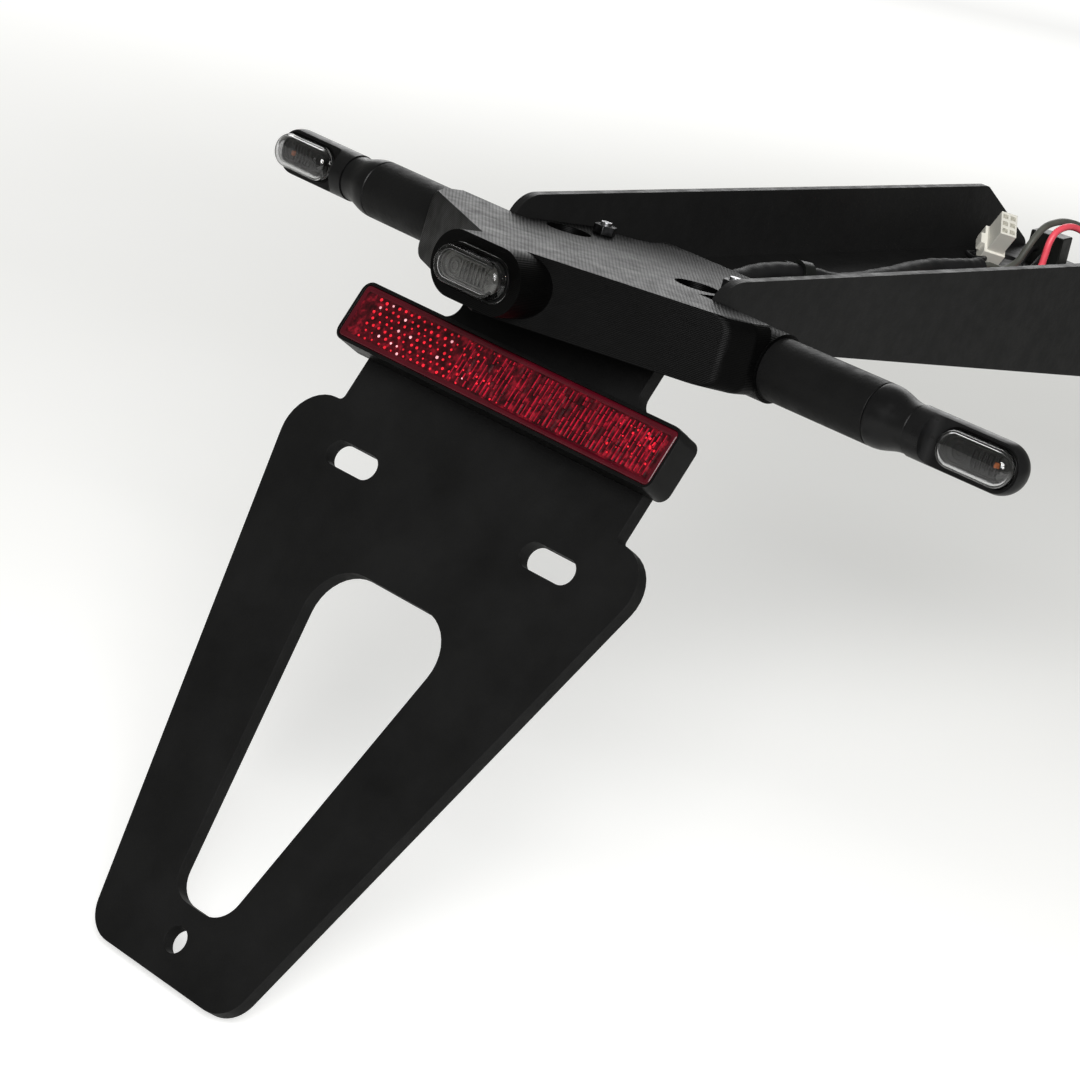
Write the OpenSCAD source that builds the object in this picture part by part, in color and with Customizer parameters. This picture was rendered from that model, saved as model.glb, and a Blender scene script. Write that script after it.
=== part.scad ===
// Tail tidy: a folded number plate bracket and a printed lamp body with two
// indicator stalks, carried on the rear end of a sheet steel undertray.
// X is across the vehicle, +Y is forward, +Z is up. The origin is the middle
// of the tray's four mounting holes, on the underside of the tray's floor.

/* [Number plate] */
// Thickness of the bracket's plate
plate_t = 4; // [3:0.5:5]
// Lean of the number plate against the lamp body
plate_angle = 24.2; // [18:0.2:30]
// Greatest width of the plate, at its shoulders
plate_w = 127.3; // [118:0.5:140]
// Width of the plate's foot, measured at its lower edge
foot_w = 53.4; // [48:0.2:64]
// Depth of the plate below its two slots
plate_drop = 134; // [120:1:150]
// Height of the shoulders above the slots
shoulder_rise = 12.5; // [12:0.5:16]
// Radius of the rounded shoulders
shoulder_r = 11; // [6:1:14]
// Spacing of the two slots
slot_spacing = 72; // [64:1:84]
// Length of a slot
slot_len = 18; // [12:1:24]
// Width of a slot
slot_w = 7; // [5:0.5:8]
// Diameter of the lower hole
foot_hole_d = 7; // [4:0.5:9]
// Height of the lower hole above the plate's lower edge
foot_hole_up = 9.9; // [8:0.1:14]

/* [Window in the plate] */
// Width of the window at its top
window_w = 48.8; // [36:0.2:56]
// Width of the window at its bottom
window_foot_w = 20; // [16:0.5:26]
// Distance from the slots down to the window
window_top = 24.3; // [20:0.1:30]
// Distance from the window down to the plate's lower edge
window_foot_up = 18.8; // [18.5:0.1:24]

/* [Neck] */
// Width of the plate's neck behind the reflector
neck_w = 100; // [92:1:108]
// Height of that neck's upper edge above the slots
neck_rise = 43.6; // [43:0.2:46]
// Width of the upper neck and of the fixing flange
upper_neck_w = 65; // [58:1:67]
// Inside radius of the bend
bend_r = 6; // [4:0.5:7]
// Height of the tray's floor above the slots
slot_drop = 58; // [56:0.5:66]
// Length of the flat part of the fixing flange
flange_len = 39.5; // [30:0.5:44]

/* [Reflector] */
// Width of the reflector's housing
reflector_w = 114; // [106:1:122]
// Height of the reflector's housing
reflector_h = 17; // [14:0.5:17.5]
// Depth of the housing
reflector_t = 8.7; // [6.5:0.1:11]
// Width of the rim round the red lens
reflector_rim = 0.9; // [0.7:0.1:2]
// Height of the reflector's middle above the slots
reflector_rise = 33.6; // [33.2:0.1:34.5]
// Spacing of the reflector's two studs
stud_spacing = 76; // [60:1:86]
// Diameter of a stud
stud_d = 5; // [4:0.5:6]

/* [Lamp body] */
// Height of the lamp body
body_h = 17.9; // [16:0.1:22]
// Thickness of the tongue above the tray's floor
tongue_t = 8.4; // [7.9:0.1:10]
// Width of the body's flat top, tip to tip
body_w = 108; // [104:0.5:111]
// Width over the rounded wing ends
wing_w = 113; // [112:0.2:120]
// Depth of the body at its middle, from the rear point to the tray
body_depth = 42.9; // [40:0.1:50]
// Sweep of the rear walls
sweep = 30.3; // [26:0.1:32]
// Width of the tongue between the rails
tongue_w = 62; // [58:0.5:66]
// Width of the tongue at its waist
waist_w = 40; // [38:0.5:46]
// Length of the tongue
tongue_len = 47.5; // [44:0.5:49]
// Diameter of the two access holes
access_d = 12; // [11:0.5:13]
// Spacing of the holes and bolts across the tongue
bolt_spacing = 46; // [44:0.5:47]

/* [Tail lamp] */
// Height of the oval boss round the tail lens
nose_h = 16.8; // [15:0.2:17]
// Width of the boss
nose_w = 30.8; // [28:0.2:34]
// How far the boss stands out of the rear point
nose_out = 2.6; // [0.6:0.1:3.4]
// Length of a lamp lens, tail lamp and indicators alike
lens_len = 21.6; // [19:0.1:23]
// Height of a lamp lens
lens_h = 9.4; // [8:0.1:10]
// How far a lens stands out
lens_out = 4.2; // [3:0.1:5]

/* [Stalks and indicators] */
// Diameter of a stalk
stalk_d = 15.9; // [14:0.1:16.4]
// Distance from the middle to the stalk's outer end
stalk_reach = 88.7; // [80:0.1:110]
// Sweep of the stalks forward
stalk_sweep = 2.1; // [0:0.1:3]
// Length of the stepped collar
collar_len = 11.4; // [9:0.1:14]
// Diameter of an indicator housing
housing_d = 13; // [12:0.1:14]
// Length of an indicator housing
housing_len = 31; // [29:0.1:36]
// Bore of the stalks for the lead
lead_bore = 4; // [3.8:0.1:5]
// Diameter of the lead in a stalk
lead_d = 3.2; // [2.8:0.1:3.4]

/* [Undertray] */
// Thickness of the tray's sheet
sheet_t = 2.5; // [2:0.1:3]
// Inside width between the rails
rail_gap = 69.6; // [68.5:0.1:72]
// Height of the rails above the floor
rail_h = 18.7; // [15:0.1:24]
// Depth of the rails below the floor at their front end
rail_skirt = 17.5; // [14:0.5:24]
// Pitch of the tray's rear floor, which carries the lamp body
tray_pitch = 6.4; // [3:0.1:8]
// Length of the rear floor
rear_floor = 50.5; // [50:0.5:54]
// Length of the front floor
front_floor = 175; // [170:1:196]
// Spacing of the mounting holes across the tray
mount_x = 48; // [44:1:52]
// Spacing of the mounting holes along the tray
mount_y = 34; // [28:1:40]
// Distance from the front mounting holes to the tray's front edge
mount_edge = 23; // [14:1:26]
// Diameter of a mounting hole
mount_d = 6.5; // [5:0.5:7]

/* [Hidden] */
$fn = 64;

// The small gap kept round pieces that slide into each other
fit = 0.1;
// The thin gap left between faces that lie on each other
lay = 0.02;
plate_black = [0.07, 0.07, 0.075];
print_grey = [0.17, 0.17, 0.18];
gloss_black = [0.05, 0.05, 0.055];
smoke = [0.25, 0.24, 0.25];
zinc = [0.7, 0.7, 0.72];

// The tray. Its floor is folded at the knee.
front_y = mount_y / 2 + mount_edge;
knee_y = front_y - front_floor;
rail_x = rail_gap / 2;
tray_x = rail_x + sheet_t;
tail_y = knee_y - rear_floor * cos(tray_pitch);
tail_z = rear_floor * sin(tray_pitch);
rail_r = 9;
rail_nose = 26;

// The lamp body stands on the rear floor. Its frame has its origin on the
// underside of that floor, at the tray's rear edge.
body_gap = 0.2;
body_top = sheet_t + tongue_t;
body_foot = body_top - body_h;
axis_y = 5.4;
axis_z = body_top - 10.2;
point_y = -body_gap - body_depth;
nose_y = point_y - nose_out;
nose_r = nose_h / 2;
nose_z = body_top - nose_r;
lens_r = lens_h / 2;
lens_arm = (lens_len - lens_h) / 2;
board_t = 1.2;
socket_r = stalk_d / 2 + 0.9;
socket_x = tray_x + 1.2;
stalk_x = socket_x + 5.5;
collar_x = stalk_reach;
housing_x = collar_x + collar_len;
housing_r = housing_d / 2;
tip_x = housing_x + housing_len;
lens_x = tip_x - 1.2 - lens_len / 2;
lens_seat = 2.4;
cavity_x = 37;
cavity_wall = 3.5;
cavity_y = -13.5;
loom_d = 6;
loom_x = -2;
channel_w = loom_d + 0.6;

// The bracket's bend
bend_out = bend_r + plate_t;
slot_y = -31.5;
bend_up = (slot_drop - bend_out * (1 - sin(plate_angle))) / cos(plate_angle);
neck_join = neck_rise + 4;
under = plate_t + 2 * lay;

// Fasteners. Widths across flats, heights and head sizes are the usual ones.
m6_y = 8.5;
m6_d = 6;
m6_head_d = 10;
m6_nut_w = 10;
m6_nut_t = 5;
m3_y = 21.9;
m3_d = 3;
m3_head_d = 5.6;
m3_head_t = 2.2;
m3_nut_w = 5.5;
m3_nut_t = 2.4;
washer_t = 1;
bolt_x = bolt_spacing / 2;

// The loom's route along the tray, and the wires' routes beyond it
loom_lift = sheet_t + loom_d / 2 + 0.3;
loom_steps = [
    for (y = [-19.8, -10.8, 2.2, 16.2, 30.2]) tail_y + y,
    knee_y - 8, knee_y - 2
];
loom_route = concat([
    for (y = loom_steps) [loom_x, y, (knee_y - y) * tan(tray_pitch) + loom_lift]
], [
    [-3, knee_y + 5, loom_lift + 1.2], [-4, -122, 7.8], [-4.5, -114, 8.1],
    [-4, -106, 7.7], [-2.5, -100, 6.9],
    [-0.5, -93, 5.9], [-0.5, -85, 5.6], [-2, -75, 5.6], [-4, -64, 5.6],
    [-6.5, -54, 5.6], [-8.5, -44, 5.6], [-8.5, -36, 5.7], [-7, -29, 5.9],
    [-6.5, -25, 6], [-6.5, -21, 6]
]);
black_route = [
    [-5.2, -21, 7.1], [-5.2, -18, 7.1], [-4.5, -12, 6], [-4, -7, 8],
    [-4, -4, 11.5], [-4, -1, 15.5], [-4, 3, 18.7], [-4, 9, 19.9],
    [-4, 15, 19.5], [-4, 20, 18.2], [-3, 24.5, 15.8], [0, 27.5, 12.5],
    [5, 28.5, 9], [10.5, 27.5, 6.3], [14.3, 24, 5.2], [15.5, 20, 5],
    [15.5, 16, 5]
];
red_route = [
    [-5.2, -21, 4.7], [-5.2, -18, 4.7], [-3, -12, 4], [-0.5, -6, 4.5],
    [0.8, -2, 7.5], [1, -1.2, 11.5], [1, -0.6, 15.5], [1, 1.5, 18.6],
    [1, 6, 20], [1, 11, 19.5], [2, 16, 17.5], [4.5, 20, 14],
    [7.5, 22.5, 10.3], [10.5, 23, 7.4], [12.3, 20.5, 5.5], [12.5, 19, 5],
    [12.5, 16, 5]
];
plug_centre = [14, 10, 5];
plug_size = [7, 12, 5];
wire_d = 2;
tail_d = 1.4;
white_face = [-8.9, -8, 18];
white_turn = [0, -49, -28.5];
white_roll = -11.7;
black_centre = [-15.7, 24, 7.5];
black_size = [10.6, 7, 10];
black_turn = 13;
tie_step = 10;

function unit(v) = v / norm(v);
function cross2(a, b) = a.x * b.y - a.y * b.x;

// The corner at b of an outline a, b, c, rounded with the radius b[2]
function corner(a, b, c, n) =
    b[2] <= 0 ? [[b.x, b.y]] : let(
        u = unit([a.x - b.x, a.y - b.y]),
        v = unit([c.x - b.x, c.y - b.y]),
        half = acos(u * v) / 2,
        turn = cross2(u, v) < 0 ? 1 : -1,
        centre = [b.x, b.y] + unit(u + v) * b[2] / sin(half),
        start = [b.x, b.y] + u * b[2] / tan(half) - centre,
        first = atan2(start.y, start.x)
    ) [for (k = [0:n])
        let(w = first + turn * (180 - 2 * half) * k / n)
        centre + b[2] * [cos(w), sin(w)]];

// An outline of points [x, y, radius] with all its corners rounded
function rounded(p, n = 10) = [
    for (i = [0:len(p) - 1])
        each corner(p[(i + len(p) - 1) % len(p)], p[i], p[(i + 1) % len(p)], n)
];

// A right half outline, from its lowest point up, closed with its mirror image
function both(p) = concat(p, [for (i = [len(p) - 1:-1:0]) [-p[i].x, p[i].y, p[i][2]]]);

// A tube swept along a route, as one closed shell
function tangent(p, i) =
    unit(p[min(i + 1, len(p) - 1)] - p[max(i - 1, 0)]);
function ring(p, i, r, sides) = let(
    t = tangent(p, i),
    a = unit(cross(t, abs(t.z) > 0.9 ? [1, 0, 0] : [0, 0, 1])),
    b = cross(a, t)
) [for (k = [0:sides - 1])
    let(w = 360 * k / sides) p[i] + r * (a * cos(w) + b * sin(w))];

// One closed shell through rings that all have the same number of points
module skin(rings) {
    sides = len(rings[0]);
    last = len(rings) - 1;
    points = [for (one = rings) each one];
    sides_faces = [for (i = [0:last - 1]) for (k = [0:sides - 1]) each let(
        a = i * sides + k,
        b = i * sides + (k + 1) % sides
    ) [[a, b, b + sides], [a, b + sides, a + sides]]];
    caps = [
        [for (k = [sides - 1:-1:0]) k],
        [for (k = [0:sides - 1]) last * sides + k]
    ];
    polyhedron(points, concat(sides_faces, caps));
}

module tube(p, d, sides) {
    skin([for (i = [0:len(p) - 1]) ring(p, i, d / 2, sides)]);
}

// Places its children in the lamp body's frame
module on_body() {
    translate([0, tail_y, tail_z])
        rotate([-tray_pitch, 0, 0])
            children();
}

// Places its children on the number plate: x across, y up the plate, and z
// out of its rear face, with the origin midway between the slots
module on_plate() {
    on_body()
        translate([0, slot_y, -slot_drop - lay])
            rotate([90 - plate_angle, 0, 0])
                children();
}

// Extrudes a side view, drawn as forward and up, across the vehicle
module across(width) {
    rotate([90, 0, 90])
        linear_extrude(width, center = true)
            children();
}

// Repeats its children on both sides of the middle
module pair(x) {
    for (s = [-1, 1])
        translate([s * x, 0, 0])
            children();
}

module sided(side) {
    if (side < 0) mirror([1, 0, 0]) children();
    else children();
}

// A flat oval of two half circles
module oval(arm, r) {
    translate([-arm, -r])
        square([2 * arm, 2 * r]);
    translate([-arm, 0])
        circle(r);
    translate([arm, 0])
        circle(r);
}

// An oval prism that runs forward from y
module oval_prism(arm, r, y, depth) {
    translate([0, y + depth, 0])
        rotate([90, 0, 0])
            linear_extrude(depth)
                oval(arm, r);
}

module hex_nut(w, t, d) {
    difference() {
        cylinder(h = t, d = w / cos(30), $fn = 6);
        translate([0, 0, -1])
            cylinder(h = t + 2, d = d);
    }
}

module washer(d_out, d, t) {
    difference() {
        cylinder(h = t, d = d_out);
        translate([0, 0, -1])
            cylinder(h = t + 2, d = d);
    }
}

// Number plate bracket
side_slope = (plate_w - foot_w) / 2 / (plate_drop + shoulder_rise - shoulder_r);
shoulder_x = plate_w / 2 + side_slope * shoulder_r;

module plate_outline() {
    polygon(rounded(both([
        [foot_w / 2, -plate_drop, 10],
        [shoulder_x, shoulder_rise, shoulder_r],
        [neck_w / 2, shoulder_rise, 1.5],
        [neck_w / 2, neck_rise, 2],
        [upper_neck_w / 2, neck_rise, 4],
        [upper_neck_w / 2, neck_join, 0]
    ])));
}

module window_outline() {
    foot = -plate_drop + window_foot_up;
    polygon(rounded(both([
        [window_foot_w / 2, foot, 8],
        [window_w / 2 + 1.2, -window_top, 12]
    ])));
}

module slot_cut(d, length) {
    translate([0, 0, -plate_t - 1]) {
        translate([-(length - d) / 2, -d / 2, 0])
            cube([length - d, d, plate_t + 2]);
        for (s = [-1, 1])
            translate([s * (length - d) / 2, 0, 0])
                cylinder(h = plate_t + 2, d = d);
    }
}

// Side view of the upper neck, the bend and the flange, drawn as up the plate
// and out of its rear face
function bend_arc(r, turns) = [
    for (w = turns)
        [bend_up + r * sin(w), r * cos(w) - bend_out]
];

module neck_profile() {
    turn = 90 - plate_angle;
    steps = [for (k = [0:12]) turn * k / 12];
    reach = flange_len * [cos(turn), -sin(turn)];
    outer = bend_arc(bend_out, steps);
    inner_side = bend_arc(bend_r, [for (k = [12:-1:0]) steps[k]]);
    polygon(concat(
        [[neck_join - 2, 0]],
        outer,
        [outer[12] + reach, inner_side[0] + reach],
        inner_side,
        [[neck_join - 2, -plate_t]]
    ));
}

module plate_bracket() {
    color(plate_black)
        difference() {
            on_plate()
                union() {
                    translate([0, 0, -plate_t])
                        linear_extrude(plate_t)
                            difference() {
                                plate_outline();
                                window_outline();
                            }
                    across(upper_neck_w)
                        neck_profile();
                }
            on_plate() {
                pair(slot_spacing / 2)
                    slot_cut(slot_w, slot_len);
                translate([0, foot_hole_up - plate_drop, -plate_t - 1])
                    cylinder(h = plate_t + 2, d = foot_hole_d);
                pair(stud_spacing / 2)
                    translate([0, reflector_rise, -plate_t - 1])
                        cylinder(h = plate_t + 2, d = stud_d + 0.5);
            }
            on_body()
                pair(bolt_x) {
                    translate([0, m6_y, -plate_t - 1])
                        cylinder(h = plate_t + 2, d = m6_d + 0.6);
                    translate([0, m3_y, -plate_t - 1])
                        cylinder(h = plate_t + 2, d = m3_d + 0.5);
                }
        }
}

// Reflector on the neck
module reflector_block(w, h, t, r) {
    linear_extrude(t)
        polygon(rounded([
            [-w / 2, -h / 2, r],
            [w / 2, -h / 2, r],
            [w / 2, h / 2, r],
            [-w / 2, h / 2, r]
        ], 6));
}

lens_depth = 3;
stud_hold = reflector_t - lens_depth - 1.7;

module reflector_housing() {
    color(gloss_black)
        on_plate()
            translate([0, reflector_rise, 0])
                difference() {
                    reflector_block(reflector_w, reflector_h, reflector_t, 3);
                    translate([0, 0, reflector_t - lens_depth])
                        reflector_block(reflector_w - 2 * reflector_rim,
                            reflector_h - 2 * reflector_rim, lens_depth + 1, 1.5);
                    pair(stud_spacing / 2)
                        translate([0, 0, -1])
                            cylinder(h = stud_hold + 1, d = stud_d);
                }
}

module reflector_lens() {
    color("red")
        on_plate()
            translate([0, reflector_rise, reflector_t - lens_depth])
                reflector_block(reflector_w - 2 * reflector_rim - 2 * fit,
                    reflector_h - 2 * reflector_rim - 2 * fit, lens_depth + 0.1, 1.4);
}

stud_nut_t = 0.8 * stud_d;
stud_end = plate_t + washer_t + stud_nut_t + 1.5;

module reflector_studs() {
    color(zinc)
        on_plate()
            pair(stud_spacing / 2)
                translate([0, reflector_rise, -stud_end])
                    cylinder(h = stud_end + stud_hold, d = stud_d);
}

module reflector_washers() {
    color(zinc)
        on_plate()
            pair(stud_spacing / 2)
                translate([0, reflector_rise, -plate_t - washer_t])
                    washer(2 * stud_d, stud_d + 0.3, washer_t);
}

module reflector_nuts() {
    color(zinc)
        on_plate()
            pair(stud_spacing / 2)
                translate([0, reflector_rise, -plate_t - washer_t - stud_nut_t])
                    hex_nut(1.6 * stud_d, stud_nut_t, stud_d);
}

// Lamp body
function wall_y(x) = point_y + x * tan(sweep);
inner = 33;
wing_x = wing_w / 2;
top_x = body_w / 2;
turn_x = top_x - 5;

// A wing's outline at the height z, from its narrow top (0) to its middle (1)
function wing_outline(bulge, z) = let(
    x = top_x + bulge * (wing_x - top_x),
    turn = turn_x + bulge * (wing_x - 3.5 - turn_x)
) [for (q = rounded([
    [inner - 1, -body_gap, 0],
    [inner - 1, wall_y(inner - 1), 0],
    [turn, wall_y(turn), 8 - 3 * bulge],
    [x, 0.45 * wall_y(turn), 3],
    [x, -body_gap, 0]
], 6)) [q.x, q.y, z]];

// How far down the wing's upper and lower edges are rounded
wing_round = 4.4;
wing_round_low = 2.8;

// One wing, with its upper and lower edges rounded
module wing() {
    steps = [0, 25, 48, 68];
    skin(concat(
        [wing_outline(0, body_top)],
        [for (k = [3:-1:0])
            wing_outline(cos(steps[k]), body_top - wing_round * (1 - sin(steps[k])))],
        [for (w = steps)
            wing_outline(cos(w), body_foot + wing_round_low * (1 - sin(w)))],
        [wing_outline(0, body_foot)]
    ));
}

module body_centre() {
    translate([0, 0, body_foot])
        linear_extrude(body_h)
            polygon([
                [inner, -body_gap],
                [-inner, -body_gap],
                [-inner, wall_y(inner)],
                [0, point_y],
                [inner, wall_y(inner)]
            ]);
}

module tongue() {
    waist_y = tongue_len - 9;
    translate([0, 0, sheet_t])
        linear_extrude(tongue_t)
            polygon(rounded(both([
                [tongue_w / 2, -body_gap - 1, 0],
                [tongue_w / 2, tongue_len - 20, 3],
                [waist_w / 2 + 2, waist_y - 6, 3],
                [waist_w / 2, waist_y, 4],
                [waist_w / 2 + 3, tongue_len, 1.5]
            ]), 6));
}

// The bracket's bend, the loom, the leads and the lamp board take this space
module body_hollows() {
    translate([-upper_neck_w / 2 - 0.8, slot_y + 21, body_foot - 1])
        cube([upper_neck_w + 1.6, -slot_y - 21 + 1, 0.5 - body_foot + 1]);
    translate([0, 0, body_foot + 2.5])
        linear_extrude(body_h - 4.3)
            polygon(rounded(both([
                [11, nose_y + 5.5, 0],
                [11, wall_y(11) + cavity_wall, 0],
                [cavity_x, wall_y(cavity_x) + cavity_wall, 0],
                [cavity_x, cavity_y, 0]
            ])));
    translate([loom_x, cavity_y - 1, sheet_t + channel_w / 2])
        rotate([-90, 0, 0])
            cylinder(h = tongue_len - cavity_y + 2, d = channel_w);
    translate([loom_x - channel_w / 2, cavity_y - 1, sheet_t - 1])
        cube([channel_w, tongue_len - cavity_y + 2, channel_w / 2 + 1]);
    pair(bolt_x) {
        translate([0, m6_y, 0])
            cylinder(h = body_top + 1, d = access_d);
        translate([0, m3_y, 0])
            cylinder(h = body_top + 1, d = m3_d + 0.5);
    }
}

// A stalk's axis turns about its inner end, and its lead bends in the body
function on_stalk(x) = [
    stalk_x + (x - stalk_x) * cos(stalk_sweep),
    axis_y + (x - stalk_x) * sin(stalk_sweep),
    axis_z
];
lead_from = on_stalk(stalk_x - 2.4);
lead_to = [cavity_x - 1, cavity_y - 1.5, axis_z];
lead_end = lens_x - lens_arm - lens_r + 0.6;
lead_run = unit(lead_to - lead_from);

module on_socket() {
    translate([stalk_x, axis_y, axis_z])
        rotate([0, 0, stalk_sweep])
            translate([-stalk_x, 0, 0])
                children();
}

module lead_way(d) {
    translate(lead_from - 1.5 * lead_run)
        rotate([0, 90, atan2(lead_run.y, lead_run.x)])
            cylinder(h = norm(lead_to - lead_from) + 1.5, d = d);
    on_socket()
        rod(stalk_x - 3.6, 3.7, d - 0.3);
}

module lamp_seat() {
    translate([0, 0, nose_z]) {
        oval_prism(lens_arm, lens_r + 1, nose_y - 1, 2.2);
        oval_prism(lens_arm, lens_r - 0.6, nose_y, 6);
    }
}

module lamp_body() {
    color(print_grey)
        on_body()
            difference() {
                union() {
                    body_centre();
                    tongue();
                    translate([0, 0, nose_z])
                        oval_prism(nose_w / 2 - nose_r, nose_r, nose_y, nose_out + 12);
                    for (s = [-1, 1])
                        sided(s) {
                            wing();
                            on_socket()
                                rod(socket_x, wing_x - socket_x, 2 * socket_r);
                        }
                }
                body_hollows();
                lamp_seat();
                for (s = [-1, 1])
                    sided(s) {
                        on_socket()
                            rod(stalk_x, wing_x, stalk_d);
                        lead_way(lead_bore + 0.6);
                    }
            }
}

// A lamp lens: a hollow oval cap on a thin rim, looking along -Y from y = 0
module lamp_lens(rim) {
    difference() {
        union() {
            oval_prism(lens_arm, lens_r, -lens_out, lens_out + 0.2);
            oval_prism(lens_arm, lens_r + rim, 0, 1);
        }
        oval_prism(lens_arm, lens_r - 1, 1.1 - lens_out, lens_out + 3);
    }
}

// A lamp board with its row of diodes, behind its lens
module lamp_board() {
    oval_prism(lens_arm, lens_r - 1.2, 1 - board_t, board_t);
    for (i = [-1:1])
        translate([i * 5.5 - 1, 0.9 - board_t - 0.9, -1])
            cube([2, 1, 2]);
}

module tail_lens() {
    color(smoke)
        on_body()
            translate([0, nose_y + 0.2, nose_z])
                lamp_lens(1 - fit);
}

module tail_lamp_board() {
    color("darkgreen")
        on_body()
            translate([0, nose_y + 0.2, nose_z])
                lamp_board();
}

// Stalks, collars and indicators. Each is as high above its axis as below, so
// the left one is the right one turned over.
module on_axis(side) {
    on_body()
        translate([0, 0, axis_z])
            rotate([0, side < 0 ? 180 : 0, 0])
                translate([0, 0, -axis_z])
                    on_socket()
                        children();
}

module rod(x, length, d) {
    translate([x, 0, 0])
        rotate([0, 90, 0])
            cylinder(h = length, d = d);
}

module stalk(side) {
    color(print_grey)
        on_axis(side)
            difference() {
                rod(stalk_x, stalk_reach - stalk_x, stalk_d);
                rod(stalk_x - 1, stalk_reach - stalk_x + 2, lead_bore);
            }
}

// A collar falls from the stalk's width to the housing's in a soft step
module collar(side) {
    a = stalk_d / 2;
    b = housing_r - 0.25;
    l = collar_len;
    color(gloss_black)
        on_axis(side)
            translate([collar_x, 0, 0])
                rotate([0, 90, 0])
                    rotate_extrude()
                        polygon([
                            [lead_bore / 2, 0],
                            [a - 0.3, 0],
                            [a, 0.3],
                            [a, l * 0.3],
                            [a - (a - b) * 0.15, l * 0.4],
                            [a - (a - b) * 0.5, l * 0.5],
                            [a - (a - b) * 0.85, l * 0.6],
                            [b, l * 0.7],
                            [b, l],
                            [lead_bore / 2, l]
                        ]);
}

// The lens sits on a flat that runs up to the round housing in a scoop
module lens_flat() {
    from = lens_x - lens_len / 2 - 3.6;
    translate([0, 0, -housing_d])
        linear_extrude(2 * housing_d)
            polygon(rounded([
                [from, -lens_seat, 3.4],
                [tip_x + 1, -lens_seat, 0],
                [tip_x + 1, -housing_d, 0],
                [from, -housing_d, 0]
            ], 8));
}

module indicator_housing(side) {
    color(gloss_black)
        on_axis(side)
            difference() {
                union() {
                    rod(housing_x, housing_len - housing_r, housing_d);
                    translate([tip_x - housing_r, 0, 0])
                        sphere(d = housing_d);
                }
                lens_flat();
                translate([lens_x, -lens_seat, 0])
                    oval_prism(lens_arm, lens_r - 0.9, -3, 5.5);
                rod(housing_x - 1, lead_end - housing_x + 3, lead_d + 0.3);
            }
}

module indicator_lens(side) {
    color(smoke)
        on_axis(side)
            translate([lens_x, -lens_seat - lay, 0])
                difference() {
                    oval_prism(lens_arm, lens_r, -lens_out, lens_out);
                    oval_prism(lens_arm, lens_r - 1, 1 - lens_out, lens_out);
                }
}

module indicator_board(side) {
    color("darkgreen")
        on_axis(side)
            translate([lens_x, 1.4 - lens_seat, 0])
                lamp_board();
}

module indicator_lead(side) {
    color("black") {
        on_body()
            sided(side)
                tube([
                    lead_to,
                    lead_from + 1.2 * lead_run,
                    on_stalk(stalk_x - 1.2),
                    on_stalk(stalk_x + 2),
                    on_stalk(lead_end)
                ], lead_d, 12);
    }
}

// Undertray
floor_turn = tray_pitch / 2;

module floor_profile() {
    polygon([
        [tail_y, tail_z],
        [knee_y, 0],
        [front_y, 0],
        [front_y, sheet_t],
        [knee_y + sheet_t * tan(floor_turn), sheet_t],
        [tail_y + sheet_t * sin(tray_pitch), tail_z + sheet_t * cos(tray_pitch)]
    ]);
}

module rail_profile() {
    top = sheet_t + rail_h;
    lean = (top - tail_z) * tan(tray_pitch);
    polygon(rounded([
        [tail_y, tail_z, 0],
        [knee_y, 0, 0],
        [front_y, -rail_skirt, 3],
        [front_y, sheet_t + 1, 5],
        [front_y - rail_nose, top, 3],
        [tail_y + lean, top, rail_r]
    ], 14));
}

module undertray() {
    color(plate_black)
        difference() {
            union() {
                across(2 * tray_x)
                    floor_profile();
                pair(rail_x + sheet_t / 2)
                    across(sheet_t)
                        rail_profile();
            }
            for (y = [-1, 1])
                pair(mount_x / 2)
                    translate([0, y * mount_y / 2, -1])
                        cylinder(h = sheet_t + 2, d = mount_d);
            on_body()
                pair(bolt_x) {
                    translate([0, m6_y, -1])
                        cylinder(h = sheet_t + 2, d = m6_d + 0.6);
                    translate([0, m3_y, -1])
                        cylinder(h = sheet_t + 2, d = m3_d + 0.5);
                }
        }
}

// Screws that hold the tray to the bracket's flange
m6_end = under + washer_t + m6_nut_t + 1.5;

module tray_screws() {
    color(gloss_black)
        on_body()
            pair(bolt_x)
                translate([0, m6_y, 0]) {
                    translate([0, 0, -m6_end])
                        cylinder(h = m6_end + sheet_t + 0.5, d = m6_d);
                    translate([0, 0, sheet_t])
                        difference() {
                            cylinder(h = m6_d, d = m6_head_d);
                            translate([0, 0, m6_d / 2])
                                cylinder(h = m6_d, d = 5 / cos(30), $fn = 6);
                        }
                }
}

module tray_washers() {
    color(zinc)
        on_body()
            pair(bolt_x)
                translate([0, m6_y, -under - washer_t])
                    washer(2 * m6_d, m6_d + 0.4, washer_t);
}

module tray_nuts() {
    color(zinc)
        on_body()
            pair(bolt_x)
                translate([0, m6_y, -under - washer_t - m6_nut_t])
                    hex_nut(m6_nut_w, m6_nut_t, m6_d);
}

// Bolts that clamp the tongue, the tray and the flange together
module tongue_bolts() {
    head_z = -under - washer_t - m3_head_t;
    color(zinc)
        on_body()
            pair(bolt_x)
                translate([0, m3_y, head_z]) {
                    cylinder(h = m3_head_t, d = m3_head_d);
                    cylinder(h = body_top + m3_nut_t + 0.9 - head_z, d = m3_d);
                }
}

module tongue_washers() {
    color(zinc)
        on_body()
            pair(bolt_x)
                translate([0, m3_y, -under - washer_t])
                    washer(m3_head_d + 1.4, m3_d + 0.3, washer_t);
}

module tongue_nuts() {
    color(zinc)
        on_body()
            pair(bolt_x)
                translate([0, m3_y, body_top])
                    hex_nut(m3_nut_w, m3_nut_t, m3_d);
}

// Wiring on the tray
module loom() {
    color("black")
        tube(loom_route, loom_d, 12);
}

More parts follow.
